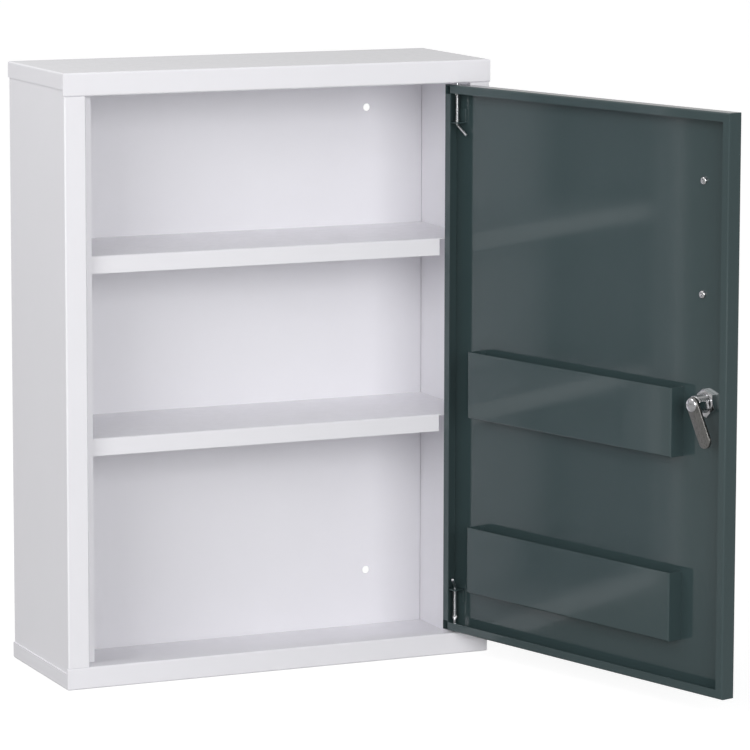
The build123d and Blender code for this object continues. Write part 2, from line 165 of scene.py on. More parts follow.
def about_z(points, angle):
    """Turns points about the Z axis: x' = cos(a) x - sin(a) y and y' = sin(a) x + cos(a) y."""
    c, s = math.cos(angle), math.sin(angle)
    return points @ np.array([[c, s, 0], [-s, c, 0], [0, 0, 1]])


def swing(points, angle=DOOR_OPEN):
    """Turns points of the shut door about the hinge axis, by the opening angle."""
    return about_z(points - HINGE_PLACE, angle) + HINGE_PLACE


def unswing(points):
    """Takes points of the open door back to the shut door."""
    return swing(points, -DOOR_OPEN)


def shut_box(name):
    """Lowest and highest corners of a node of the door, with the door shut."""
    points = np.zeros(len(frame["nodes"][name].data.vertices) * 3)
    frame["nodes"][name].data.vertices.foreach_get("co", points)
    points = unswing(points.reshape(-1, 3))
    return points.min(axis=0), points.max(axis=0)


def outward(points, faces):
    """Turns the faces of a closed shell outwards.

    The signed volume, a sixth of the sum of a . (b x c) over the triangles of each face, is
    positive when they point outwards.
    """
    volume = 0.0
    for corners in faces:
        a = points[corners[0]]
        b, c = points[corners[1:-1]], points[corners[2:]]
        volume += float((np.cross(b, c) @ a).sum())
    return [corners[::-1] for corners in faces] if volume < 0 else faces


def joined(first, second):
    """Two closed shells as one set of points and faces."""
    (points, faces), (more_points, more_faces) = first, second
    more_faces = [corners + len(points) for corners in outward(more_points, more_faces)]
    return np.concatenate([points, more_points]), outward(points, faces) + more_faces


def add_mesh(name, points, faces):
    """Mesh object from points and faces."""
    mesh = bpy.data.meshes.new(name)
    mesh.from_pydata(points.tolist(), [], [list(map(int, corners)) for corners in faces])
    mesh.validate()
    piece = bpy.data.objects.new(name, mesh)
    bpy.context.scene.collection.objects.link(piece)
    return piece


def add_solid(name, points, faces):
    """Mesh object of a closed shell, with its faces turned outwards."""
    return add_mesh(name, points, outward(points, faces))


def skin(rings, loop=False):
    """Faces over a stack of closed rings, an array (rings, points, 3).

    Point j of ring i joins point j of ring i + 1, and each ring's last point joins its first. With
    loop, the last ring joins the first. Without, each end is closed by one face.
    """
    count, around = rings.shape[:2]
    spans = count if loop else count - 1
    i, j = np.meshgrid(np.arange(spans), np.arange(around), indexing="ij")
    after, beside = (i + 1) % count, (j + 1) % around
    here, there = i * around, after * around
    faces = list(np.stack([here + j, here + beside, there + beside, there + j], -1).reshape(-1, 4))
    if not loop:
        faces.append(np.arange(around)[::-1])
        faces.append(np.arange(around) + (count - 1) * around)
    return rings.reshape(-1, 3), faces


def soften(piece, angle):
    """Smooth shading, with an edge kept sharp where its faces meet at more than the angle."""
    piece.data.polygons.foreach_set("use_smooth", np.ones(len(piece.data.polygons), bool))
    piece.data.set_sharp_from_angle(angle=math.radians(angle))
    return piece


def carried(path, normals, binormals, widths, heights, sides):
    """Rings of ellipses along a path: point + width cos(t) n + height sin(t) b.

    n and b are the two directions across the path at each of its points.
    """
    t = np.linspace(0, 2 * math.pi, sides, endpoint=False)
    across = widths[:, None, None] * np.cos(t)[None, :, None] * normals[:, None]
    across = across + heights[:, None, None] * np.sin(t)[None, :, None] * binormals[:, None]
    return path[:, None] + across


def lathe(profile, sides):
    """Rings of a profile, an array of radius and height, turned about local Z."""
    t = np.linspace(0, 2 * math.pi, sides, endpoint=False)
    radius, height = profile[:, 0], profile[:, 1]
    return np.stack([
        radius[:, None] * np.cos(t), radius[:, None] * np.sin(t),
        np.broadcast_to(height[:, None], (len(profile), sides)),
    ], -1)


def ring(x, y, z):
    """One ring of points at one height, or with a height for each point."""
    return np.column_stack([x, y, np.broadcast_to(z, x.shape)])


def arc(centre, radius, start, end, steps):
    """Points of a circle's arc in the plane, from one angle to another, in degrees."""
    t = np.radians(np.linspace(start, end, steps))
    return np.stack([centre[0] + radius * np.cos(t), centre[1] + radius * np.sin(t)], -1)


def cut(piece, cutter):
    """Takes one solid out of another with a Boolean modifier, and applies it."""
    modifier = piece.modifiers.new("cut", "BOOLEAN")
    modifier.operation, modifier.solver, modifier.object = "DIFFERENCE", "EXACT", cutter
    bpy.context.view_layer.update()
    cut_mesh = bpy.data.meshes.new_from_object(
        piece.evaluated_get(bpy.context.evaluated_depsgraph_get()))
    piece.modifiers.clear()
    piece.data = cut_mesh
    bpy.data.objects.remove(cutter)
    return piece


def placed(piece, change):
    """Moves the mesh's points by a function of them, and leaves the object at the origin."""
    points = np.zeros(len(piece.data.vertices) * 3)
    piece.data.vertices.foreach_get("co", points)
    piece.data.vertices.foreach_set("co", change(points.reshape(-1, 3)).ravel())
    piece.data.update()
    return piece


def fit(piece, body, slot, material, *nodes):
    """Gives a finished piece its material and its body, and hides the CAD nodes that it stands for.
    The slot is not used.
    """
    piece.data.materials.clear()
    piece.data.materials.append(material)
    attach(piece, body)
    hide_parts(*nodes)
    return piece


# ---- Finishes ----

# Nearly all of a noise pattern lies between these two values.
PATTERN_START, PATTERN_END = 0.3, 0.7


class Finish:
    """A material's node tree, built from a Principled shader outwards."""

    def __init__(self, name, colour, metallic=0.0, roughness=0.5, **sockets):
        self.material = bpy.data.materials.new(name)
        self.material.use_nodes = True
        self.nodes = self.material.node_tree.nodes
        self.links = self.material.node_tree.links
        self.shader = self.nodes["Principled BSDF"]
        self.shader.inputs["Base Color"].default_value = (*colour, 1)
        self.shader.inputs["Metallic"].default_value = metallic
        self.shader.inputs["Roughness"].default_value = roughness
        for socket, value in sockets.items():
            self.shader.inputs[socket.replace("_", " ")].default_value = value
        self.place = self.nodes.new("ShaderNodeTexCoord").outputs["Object"]

    def noise(self, size, detail=2.0, stretch=(1, 1, 1)):
        """Cloudy pattern whose lumps are about size metres apart."""
        mapping = self.nodes.new("ShaderNodeMapping")
        mapping.inputs["Scale"].default_value = stretch
        self.links.new(self.place, mapping.inputs["Vector"])
        noise = self.nodes.new("ShaderNodeTexNoise")
        noise.inputs["Scale"].default_value = 1 / size
        noise.inputs["Detail"].default_value = detail
        self.links.new(mapping.outputs["Vector"], noise.inputs["Vector"])
        return noise.outputs["Fac"]

    def between(self, factor, low, high, start=PATTERN_START, end=PATTERN_END):
        """Value that runs from low to high as the pattern runs from start to end."""
        ramp = self.nodes.new("ShaderNodeMapRange")
        limits = {"From Min": start, "From Max": end, "To Min": low, "To Max": high}
        for name, value in limits.items():
            ramp.inputs[name].default_value = value
        self.links.new(factor, ramp.inputs["Value"])
        return ramp.outputs["Result"]

    def blend(self, factor, first, second):
        """Colour between two colours."""
        mix = self.nodes.new("ShaderNodeMix")
        mix.data_type = "RGBA"
        mix.inputs["A"].default_value = (*first, 1)
        mix.inputs["B"].default_value = (*second, 1)
        self.links.new(factor, mix.inputs["Factor"])
        return mix.outputs["Result"]

    def bump(self, height, depth, before=None):
        """Relief of that depth in metres."""
        bump = self.nodes.new("ShaderNodeBump")
        bump.inputs["Distance"].default_value = depth
        self.links.new(height, bump.inputs["Height"])
        if before is not None:
            self.links.new(before, bump.inputs["Normal"])
        return bump.outputs["Normal"]

    def set(self, socket, value):
        """Feeds one of the shader's sockets."""
        self.links.new(value, self.shader.inputs[socket])


def tinted(colour, factor):
    """Colour made darker or lighter by a factor."""
    return tuple(min(1.0, c * factor) for c in colour)


CLOUD_SIZE, WAVE_SIZE, WAVE_DEPTH, PEEL_DEPTH = 60 * MM, 90 * MM, 0.06 * MM, 0.003 * MM


def powder_coat(name, colour, peel, gloss, spread, ior):
    """Gloss powder coat: fine orange peel over a slow wave of the sheet, and faint clouding."""
    paint = Finish(name, colour, roughness=gloss, IOR=ior)
    clouds = paint.noise(CLOUD_SIZE, detail=3)
    darker, lighter = tinted(colour, 1 - spread), tinted(colour, 1 + spread)
    paint.set("Base Color", paint.blend(clouds, darker, lighter))
    grain = paint.noise(3 * peel, detail=2)
    paint.set("Roughness", paint.between(grain, low=gloss * 0.95, high=gloss * 1.07))
    wave = paint.bump(paint.noise(WAVE_SIZE, detail=1), WAVE_DEPTH)
    paint.set("Normal", paint.bump(paint.noise(peel, detail=1), PEEL_DEPTH, before=wave))
    return paint.material


def bright_zinc():
    """Zinc plated wire, with the fine drawing lines and dull spots of plating."""
    zinc = Finish("bright_zinc", (0.78, 0.79, 0.81), metallic=1.0, roughness=0.28)
    spots = zinc.noise(1.2 * MM, detail=4)
    zinc.set("Roughness", zinc.between(spots, low=0.2, high=0.42))
    zinc.set("Base Color", zinc.blend(spots, (0.70, 0.71, 0.72), (0.84, 0.85, 0.87)))
    zinc.set("Normal", zinc.bump(zinc.noise(0.5 * MM), depth=0.01 * MM))
    return zinc.material


def polished_chrome():
    """Chrome plate over a die casting: mirror bright, with faint polishing haze."""
    chrome = Finish("polished_chrome", (0.72, 0.72, 0.73), metallic=1.0, roughness=0.09)
    haze = chrome.noise(4 * MM, detail=5)
    chrome.set("Roughness", chrome.between(haze, low=0.1, high=0.2, end=0.75))
    chrome.set("Normal", chrome.bump(chrome.noise(6 * MM, detail=1), depth=0.03 * MM))
    return chrome.material


def satin_chrome():
    """Brushed chrome of the pull handle."""
    chrome = Finish("satin_chrome", (0.74, 0.74, 0.75), metallic=1.0, roughness=0.24)
    lines = chrome.noise(0.5 * MM, detail=2, stretch=(1, 1, 0.04))
    chrome.set("Roughness", chrome.between(lines, low=0.18, high=0.32))
    chrome.set("Normal", chrome.bump(lines, depth=0.004 * MM))
    return chrome.material


def rolled_steel():
    """Stamped steel cam in dull nickel, with rolling lines across and small pits."""
    steel = Finish("rolled_steel", (0.29, 0.285, 0.275), metallic=1.0, roughness=0.3)
    lines = steel.noise(0.6 * MM, detail=3, stretch=(1, 1, 0.15))
    clouds = steel.noise(5 * MM, detail=3)
    steel.set("Base Color", steel.blend(clouds, (0.24, 0.235, 0.225), (0.34, 0.335, 0.32)))
    steel.set("Roughness", steel.between(lines, low=0.22, high=0.4))
    steel.set("Normal", steel.bump(lines, depth=0.01 * MM))
    return steel.material


def machined_brass(name, colour):
    """Turned brass with its fine tool lines."""
    brass = Finish(name, colour, metallic=1.0, roughness=0.25)
    lines = brass.noise(0.4 * MM, detail=2)
    brass.set("Roughness", brass.between(lines, low=0.18, high=0.36))
    brass.set("Base Color", brass.blend(lines, tinted(colour, 0.9), tinted(colour, 1.08)))
    return brass.material


def finish_nodes(names, material):
    """Gives CAD nodes a material, and leaves their meshes alone."""
    for name in names:
        node = frame["nodes"][name]
        node.data.materials.clear()
        node.data.materials.append(material)


# ---- Sprung hinge pins ----
# Drawn for the upper corner, with z = 0 where the spring stands on its bracket and the lever below.

BRACKET_SHEET, LEVER_GAP = 1.2 * MM, 0.3 * MM
LEVER_BEND, LEVER_LENGTH, LEVER_SLOPE = 2.6 * MM, 16 * MM, math.radians(51)
SPRING_LENGTH, SPRING_BORE_GAP, SPRING_SEAT_GAP = 25 * MM, 0.2 * MM, 0.1 * MM
EAR_HEIGHT, EAR_HALF, EAR_THIN = 4.6 * MM, 2.7 * MM, 0.7 * MM
EAR_SHOULDER, EAR_FULL = 0.35 * MM, 0.6 * MM
END_REACH, END_STEPS, ROD_SIDES = 0.5 * MM, 6, 20
COIL_STEPS, COIL_BLEND, COIL_PACKING, WIRE_SIDES = 28, 0.4, 1.04, 10


def smooth_step(x, start, end):
    """Runs from 0 to 1 between start and end as 3 t^2 - 2 t^3."""
    t = np.clip((x - start) / (end - start), 0, 1)
    return t * t * (3 - 2 * t)


def hinge_pin_rings(diameter, tip):
    """Straight rod, a bend of one arc and a straight lever, with a crimped pair of ears.

    Along the rod the section is a circle of the rod's radius. At the ears it is an ellipse that
    spreads across the rod while it thins. It spreads over the shoulder, just above the spring, and
    comes back towards the tip, both by a smooth step. Each end closes on a quarter ellipse.
    """
    radius = diameter / 2
    ear_foot, ear_top = SPRING_LENGTH, SPRING_LENGTH + EAR_HEIGHT
    lever_start = -BRACKET_SHEET - LEVER_GAP
    rod_z = np.concatenate([
        np.linspace(tip, ear_top, 8, endpoint=False),
        np.linspace(ear_top, ear_foot, 28, endpoint=False),
        np.linspace(ear_foot, lever_start, 20, endpoint=False),
    ])
    bend = np.linspace(0, LEVER_SLOPE, 12)
    straight = np.linspace(0, LEVER_LENGTH - LEVER_BEND * LEVER_SLOPE, 16)[1:]
    turn = np.concatenate([np.zeros(len(rod_z)), bend, np.full(len(straight), LEVER_SLOPE)])
    bend_x, bend_z = LEVER_BEND * (1 - np.cos(bend)), lever_start - LEVER_BEND * np.sin(bend)
    lever_x = bend_x[-1] + straight * math.sin(LEVER_SLOPE)
    lever_z = bend_z[-1] - straight * math.cos(LEVER_SLOPE)
    x = np.concatenate([np.zeros(len(rod_z)), bend_x, lever_x])
    z = np.concatenate([rod_z, bend_z, lever_z])
    flare = smooth_step(z, ear_foot, ear_foot + EAR_SHOULDER)
    flare = flare * (1 - smooth_step(z, ear_foot + EAR_FULL, ear_top))
    thick = radius + (EAR_THIN - radius) * flare
    wide = radius + (EAR_HALF - radius) * flare
    nothing = np.zeros(len(x))
    path = np.column_stack([x, nothing, z])
    ahead = np.column_stack([np.sin(turn), nothing, -np.cos(turn)])
    across = np.column_stack([np.cos(turn), nothing, np.sin(turn)])
    # each end ring is repeated and drawn in along a quarter ellipse
    close = np.radians(np.linspace(12, 90, END_STEPS))
    along = END_REACH * (1 - np.cos(close))[:, None]
    more = END_STEPS - 1
    path, across = (np.pad(rows, ((more, more), (0, 0)), mode="edge") for rows in (path, across))
    thick, wide = (np.pad(row, more, mode="edge") for row in (thick, wide))
    path[:END_STEPS] += along * ahead[0]
    path[-END_STEPS:] -= along[::-1] * ahead[-1]
    share = np.pad(np.sin(close), (0, len(x) - 2), constant_values=1)
    share = np.concatenate([share, np.sin(close)[::-1]])
    side = np.broadcast_to((0.0, 1.0, 0.0), (len(path), 3))
    return carried(path, across, side, share * thick, share * wide, ROD_SIDES)


def spring_rings(pin_diameter, wire, turns, dead_turns):
    """Round wire on a helix, x = r cos(a), y = r sin(a), with closed coils at both ends.

    The height gains one wire a turn in the closed coils and the rest evenly between them, through
    a smooth step of the pitch.
    """
    radius = pin_diameter / 2 + SPRING_BORE_GAP + wire / 2
    total = turns + 2 * dead_turns
    step = np.linspace(0, total, int(total * COIL_STEPS) + 1)
    low = SPRING_SEAT_GAP + wire / 2
    high = SPRING_LENGTH - low
    last = total - dead_turns
    open_share = smooth_step(step, dead_turns - COIL_BLEND, dead_turns + COIL_BLEND)
    open_share = open_share * (1 - smooth_step(step, last - COIL_BLEND, last + COIL_BLEND))
    closed = wire * COIL_PACKING
    rise = np.concatenate([[0], np.cumsum((open_share[1:] + open_share[:-1]) / 2 * np.diff(step))])
    extra = (high - low - closed * total) / rise[-1]
    height = low + closed * step + extra * rise
    angle = 2 * math.pi * step
    path = np.column_stack([radius * np.cos(angle), radius * np.sin(angle), height])
    away = np.column_stack([np.cos(angle), np.sin(angle), np.zeros(len(angle))])
    pitch = np.gradient(height, angle)
    ahead = np.column_stack([-radius * np.sin(angle), radius * np.cos(angle), pitch])
    ahead /= np.linalg.norm(ahead, axis=1)[:, None]
    half = np.full(len(angle), wire / 2)
    return carried(path, away, np.cross(ahead, away), half, half, WIRE_SIDES)


def at_corner(points, seat, upper):
    """Takes a pin's points to the upper or the lower corner of the open door.

    seat is the height at which the spring stands on its bracket. At the lower corner the heights
    are mirrored. Both are then swung with the door.
    """
    points = points * (1, 1, 1 if upper else -1) + (HINGE_PLACE[0], HINGE_PLACE[1], seat)
    return swing(points)


# ---- Pull handle and its screws ----

FOOT_BEVEL, TAPPED_RADIUS, TAPPED_DEPTH = 0.25 * MM, 2.05 * MM, 12 * MM
BOW_STEPS, BOW_SIDES = 14, 32
HANDLE_SCREW, HANDLE_SCREW_HEIGHT, HANDLE_SCREW_LENGTH = 4 * MM, 2.4 * MM, 12 * MM
SCREW_TIP, SCREW_BEVEL = 0.3 * MM, 0.5 * MM
HEAD_EDGE, HEAD_CROWN, HEAD_FLAT = 0.15 * MM, 1.5 * MM, 0.2 * MM
CROSS_ARM, CROSS_HALF = 1.9 * MM, 0.5 * MM
# Share of the recess's size, and height from the top of the head, at its mouth and at its bottom.
CROSS_TAPER = ((1.15, 0.3 * MM), (0.45, -1.3 * MM))


def handle_rings(rod, pitch, projection, bend):
    """Bow bent from round rod: straight feet, a quarter circle at each corner and a straight grip.

    The bow lies in the plane of local Y, out of the door, and Z. Each foot is bevelled round its
    tapped hole, and the hole's bottom closes the shell.
    """
    half, out = pitch / 2, projection - rod / 2
    quarter = np.radians(np.linspace(0, 90, BOW_STEPS))
    y = np.concatenate([[TAPPED_DEPTH, 0, 0, FOOT_BEVEL], out - bend + bend * np.sin(quarter)])
    z = np.concatenate([np.full(4, half), half - bend + bend * np.cos(quarter)])
    turn = np.concatenate([np.zeros(4), quarter])
    grip = np.linspace(z[-1], 0, 6)[1:]
    y = np.append(y, np.full(len(grip), out))
    z = np.append(z, grip)
    turn = np.append(turn, np.full(len(grip), math.pi / 2))
    radius = np.full(len(y), rod / 2)
    radius[:3] = TAPPED_RADIUS, TAPPED_RADIUS, rod / 2 - FOOT_BEVEL
    # the lower half is the mirror image of the upper one
    y, z = np.append(y, y[-2::-1]), np.append(z, -z[-2::-1])
    turn, radius = np.append(turn, math.pi - turn[-2::-1]), np.append(radius, radius[-2::-1])
    path = np.column_stack([np.zeros(len(y)), -y, z])
    across = np.column_stack([np.zeros(len(y)), -np.sin(turn), np.cos(turn)])
    side = np.broadcast_to((1.0, 0.0, 0.0), (len(y), 3))
    return carried(path, across, side, radius, radius, BOW_SIDES)


def pan_screw(name, diameter, head_diameter, head_height, length):
    """Pan head screw turned about local Z, its head above z = 0, with a tapered cross recess."""
    half, head = diameter / 2, head_diameter / 2
    shank = [(SCREW_TIP, -length), (half - SCREW_BEVEL, -length), (half, SCREW_BEVEL - length)]
    under = [(half, 0), (head - HEAD_EDGE, 0), (head, HEAD_EDGE)]
    crown = arc((head - HEAD_CROWN, head_height - HEAD_CROWN), HEAD_CROWN, 0, 82, 8)
    profile = np.concatenate([shank, under, crown, [(HEAD_FLAT, head_height)]])
    screw = add_solid(name, *skin(lathe(profile, 40)))
    arm, slot = CROSS_ARM, CROSS_HALF
    cross = np.array([
        (arm, -slot), (arm, slot), (slot, slot), (slot, arm), (-slot, arm), (-slot, slot),
        (-arm, slot), (-arm, -slot), (-slot, -slot), (-slot, -arm), (slot, -arm), (slot, -slot),
    ])
    rings = np.stack([ring(*(cross * share).T, head_height + rise) for share, rise in CROSS_TAPER])
    return cut(screw, add_solid("recess", *skin(rings)))


# ---- Cam lock ----
# Drawn along local Z, which points into the cabinet from the door's front face. Local Y points
# down.

LOCK_HEAD, LOCK_HEAD_HEIGHT, LOCK_HEAD_ROUNDING = 21 * MM, 3 * MM, 0.8 * MM
FACE_BORE, FACE_BORE_DEPTH, PLUG_BORE = 6.3 * MM, 0.9 * MM, 5.1 * MM
BARREL, BARREL_FLATS, BARREL_SIDES, BARREL_TAPER = 16 * MM, 14 * MM, 96, 0.4 * MM
THREAD_DEPTH, THREAD_STEPS, THREAD_RUNOUT = 0.3 * MM, 6, 0.8 * MM
NUT_FLATS, NUT_THICK, NUT_BORE, NUT_TURN = 22 * MM, 5 * MM, 8.05 * MM, math.radians(11.5)
NUT_EDGE, NUT_BORE_BEVEL, NUT_FACE, NUT_CONE = 0.2 * MM, 0.5 * MM, 0.985, math.radians(30)
CAM_BASE, CAM_THICK, CAM_GAP = 18 * MM, 2.5 * MM, 0.3 * MM
CAM_WIDTH, CAM_REACH, CAM_HOLE = 14 * MM, 40.5 * MM, 6.9 * MM
CAM_BEVEL, CAM_ROLL, CAM_END_POINTS = 0.2 * MM, 0.45 * MM, 41
CAM_SCREW, CAM_SCREW_HEAD = 3.5 * MM, 12.5 * MM
CAM_SCREW_HEIGHT, CAM_SCREW_LENGTH = 2.6 * MM, 8 * MM
DOME_RIM, SLOT_DEPTH, SLOT_HALF, SHANK_BEVEL = 0.7 * MM, 1.2 * MM, 0.5 * MM, 0.4 * MM


def at_lock(points):
    """Takes points of the lock to the open door: local X stays, Y points down and Z inwards."""
    shut_lock = unswing(LOCK_PLACE[None])[0]
    shut = np.column_stack([
        shut_lock[0] + points[:, 0], SHUT_FRONT + points[:, 2], shut_lock[2] - points[:, 1]])
    return swing(shut)


def hexagon(across_flats, angle):
    """Distance from the middle to the side, (a / 2) / cos(angle from the nearest flat's middle)."""
    off = (angle + math.pi / 6) % (math.pi / 3) - math.pi / 6
    return across_flats / 2 / np.cos(off)


def nut_rings(across_flats, thickness, bore):
    """Hexagon nut with flats at left and right. Its open face is cut by a cone of 30 degrees.

    At each angle the wall ends where the cone meets it, (R - a / 2) tan 30 below the face. The bore
    is a radius.
    """
    t = np.linspace(0, 2 * math.pi, 144, endpoint=False)
    outer = hexagon(across_flats, t)
    cone = thickness - (outer - across_flats / 2) * math.tan(NUT_CONE)
    levels = [
        (outer - NUT_EDGE, 0), (outer, NUT_EDGE), (outer, cone),
        (across_flats / 2 * NUT_FACE, thickness),
        (bore + NUT_BORE_BEVEL, thickness), (bore, thickness - NUT_BORE_BEVEL), (bore, 0),
    ]
    return np.stack([ring(r * np.cos(t), r * np.sin(t), z) for r, z in levels])


def housing_rings(head, head_height, barrel, flats, pitch):
    """Turned head and a long threaded barrel with two flats, round a stepped bore.

    The thread's radius is barrel / 2 - depth |2 frac(z / pitch - a / turn) - 1|, and the flats clip
    x to flats / 2. Over its runout the barrel tapers in.
    """
    t = np.linspace(0, 2 * math.pi, BARREL_SIDES, endpoint=False)
    x, y = np.cos(t), np.sin(t)
    end, rounding = CAM_BASE - CAM_GAP, LOCK_HEAD_ROUNDING
    nose = arc((head / 2 - rounding, rounding - head_height), rounding, -90, 0, 6)
    front = [(FACE_BORE, -head_height), *nose, (head / 2, 0), (barrel / 2, 0)]
    rings = [ring(r * x, r * y, z) for r, z in front]
    for z in np.arange(0, end, pitch / THREAD_STEPS):
        share = np.abs(2 * ((z / pitch - t / (2 * math.pi)) % 1) - 1)
        fade = min(1.0, (end - z) / THREAD_RUNOUT)
        r = barrel / 2 - THREAD_DEPTH * share - BARREL_TAPER * (1 - fade)
        rings.append(ring(np.clip(r * x, -flats / 2, flats / 2), r * y, z))
    inside = [(PLUG_BORE, end), (PLUG_BORE, -FACE_BORE_DEPTH), (FACE_BORE, -FACE_BORE_DEPTH)]
    rings += [ring(r * x, r * y, z) for r, z in inside]
    return np.stack(rings)


def cam_rings(width, reach, thickness, hole):
    """Flat bar with round ends and rolled edges, round a square hole.

    The outline is the points whose distance from the middle line, drawn between the two end
    centres, is half the width. The round end beside the hole comes first, then the far one, and
    the straight sides join them.
    """
    half, span = width / 2, reach - width / 2
    ends = np.linspace(180, 360, CAM_END_POINTS), np.linspace(0, 180, CAM_END_POINTS)
    t = np.radians(np.concatenate(ends))
    x, y, shift = np.cos(t), np.sin(t), np.repeat((0, span), CAM_END_POINTS)
    angle = np.arctan2(y * half + shift, x * half)
    square = hole / 2 / np.maximum(np.abs(np.cos(angle)), np.abs(np.sin(angle)))
    rolled = arc((half - CAM_ROLL, thickness - CAM_ROLL), CAM_ROLL, 0, 90, 6)
    outside = [(half - CAM_BEVEL, 0), (half, CAM_BEVEL), *rolled]
    rings = [ring(x * r, y * r + shift, z) for r, z in outside]
    rings += [ring(square * np.cos(angle), square * np.sin(angle), z) for z in (thickness, 0)]
    return np.stack(rings)


def domed_screw(name, diameter, head_diameter, head_height, length):
    """Screw along local Z with a domed head and a straight slot along X.

    The head is a stack of sections across X. Each reaches out to y = sqrt(R^2 - x^2), and its top
    is rim + rise sqrt(1 - (x^2 + y^2) / R^2), cut down to the slot's floor where |y| is under half
    the slot's width.
    """
    radius, rise, floor = head_diameter / 2, head_height - DOME_RIM, head_height - SLOT_DEPTH
    x = radius * np.sin(np.radians(np.linspace(-88, 88, 45)))[:, None]
    reach = np.sqrt(radius ** 2 - x ** 2)
    edge = np.minimum(SLOT_HALF, reach * 0.98)
    y = edge + (reach - edge) * np.cos(np.radians(np.linspace(0, 90, 14)))
    z = DOME_RIM + rise * np.sqrt(np.clip(1 - (x ** 2 + y ** 2) / radius ** 2, 0, 1))
    bottom = np.minimum(floor, z[:, -1:])
    ring_y = np.hstack([reach, y, edge, -edge, -y[:, ::-1], -reach])
    ring_z = np.hstack([0 * reach, z, bottom, bottom, z[:, ::-1], 0 * reach])
    head = skin(np.stack([np.broadcast_to(x, ring_y.shape), ring_y, ring_z], -1))
    half = diameter / 2
    shank = np.array([(SCREW_TIP, -length), (half, SHANK_BEVEL - length), (half, DOME_RIM / 2)])
    return add_solid(name, *joined(head, skin(lathe(shank, 32))))


# ---- Operators ----

class CABINET_OT_body_paint(Operator):
    """Paint the cabinet's caps, sides, back and shelves"""

    bl_idname = "cabinet.body_paint"
    bl_label = "Paint Cabinet Body"

    def execute(self, context):
        paint = context.scene.cabinet_paint
        coat = powder_coat(
            "white_powder_coat", paint.body_colour, paint.peel_size,
            gloss=0.22, spread=0.012, ior=1.45)
        finish_nodes(CABINET_NODES, coat)
        return {"FINISHED"}


class CABINET_OT_door_paint(Operator):
    """Paint the door, its pockets and its hinge brackets"""

    bl_idname = "cabinet.door_paint"
    bl_label = "Paint Door"

    def execute(self, context):
        paint = context.scene.cabinet_paint
        coat = powder_coat(
            "grey_powder_coat", paint.door_colour, paint.peel_size,
            gloss=0.09, spread=0.05, ior=1.6)
        finish_nodes(DOOR_NODES, coat)
        return {"FINISHED"}


class CABINET_OT_hinge_pins(Operator):
    """Make the two sprung hinge pins with their springs"""

    bl_idname = "cabinet.hinge_pins"
    bl_label = "Make Hinge Pins"

    def execute(self, context):
        sizes = context.scene.cabinet_hardware
        zinc = bright_zinc()
        spring = spring_rings(
            sizes.pin_diameter, sizes.wire_diameter, sizes.spring_turns, sizes.dead_turns)
        corners = ("upper", True, sizes.upper_lever), ("lower", False, sizes.lower_lever)
        for corner, upper, turn in corners:
            slide = joint(f"{corner}_pin_slide")
            seat = slide["deforming_nodes"][0]["fixed_end_z_m"]
            low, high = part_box(f"{corner}_hinge_pin")
            tip = high.z - seat if upper else seat - low.z
            points, faces = skin(hinge_pin_rings(sizes.pin_diameter, tip))
            points = at_corner(about_z(points, math.pi + turn), seat, upper)
            rod = soften(add_solid(f"{corner}_sprung_pin", points, faces), 40)
            fit(rod, f"{corner}_pin", "zinc_wire", zinc, f"{corner}_hinge_pin")
            points, faces = skin(spring)
            points = at_corner(points, seat, upper)
            coil = soften(add_solid(f"{corner}_coil_spring", points, faces), 50)
            fit(coil, "door", "zinc_wire", zinc, f"{corner}_pin_spring")
            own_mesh(coil)
        return {"FINISHED"}


class CABINET_OT_pull_handle(Operator):
    """Make the pull handle and the two screws that hold it"""

    bl_idname = "cabinet.pull_handle"
    bl_label = "Make Pull Handle"

    def execute(self, context):
        sizes = context.scene.cabinet_hardware
        low, high = shut_box("pull_handle")
        middle_x, middle_z = (low[0] + high[0]) / 2, (low[2] + high[2]) / 2
        pitch = high[2] - low[2] - sizes.handle_rod
        chrome = polished_chrome()
        rings = handle_rings(sizes.handle_rod, pitch, SHUT_FRONT - low[1], sizes.handle_bend)
        points, faces = skin(rings)
        place = np.array((middle_x, SHUT_FRONT, middle_z))
        bow = soften(add_solid("bow_handle", swing(points + place), faces), 50)
        fit(bow, "door", "handle_metal", satin_chrome(), "pull_handle")
        for corner, side in (("upper", 1), ("lower", -1)):
            z = middle_z + side * pitch / 2
            screw = pan_screw(
                f"{corner}_handle_screw", HANDLE_SCREW, sizes.screw_head,
                HANDLE_SCREW_HEIGHT, HANDLE_SCREW_LENGTH)
            seat = np.array((middle_x, SHUT_FRONT + SHEET, z))
            placed(screw, lambda points: swing(np.column_stack([
                points[:, 0], points[:, 2], -points[:, 1]]) + seat))
            fit(soften(screw, 35), "door", "lock_chrome", chrome, "handle_screws")
        return {"FINISHED"}


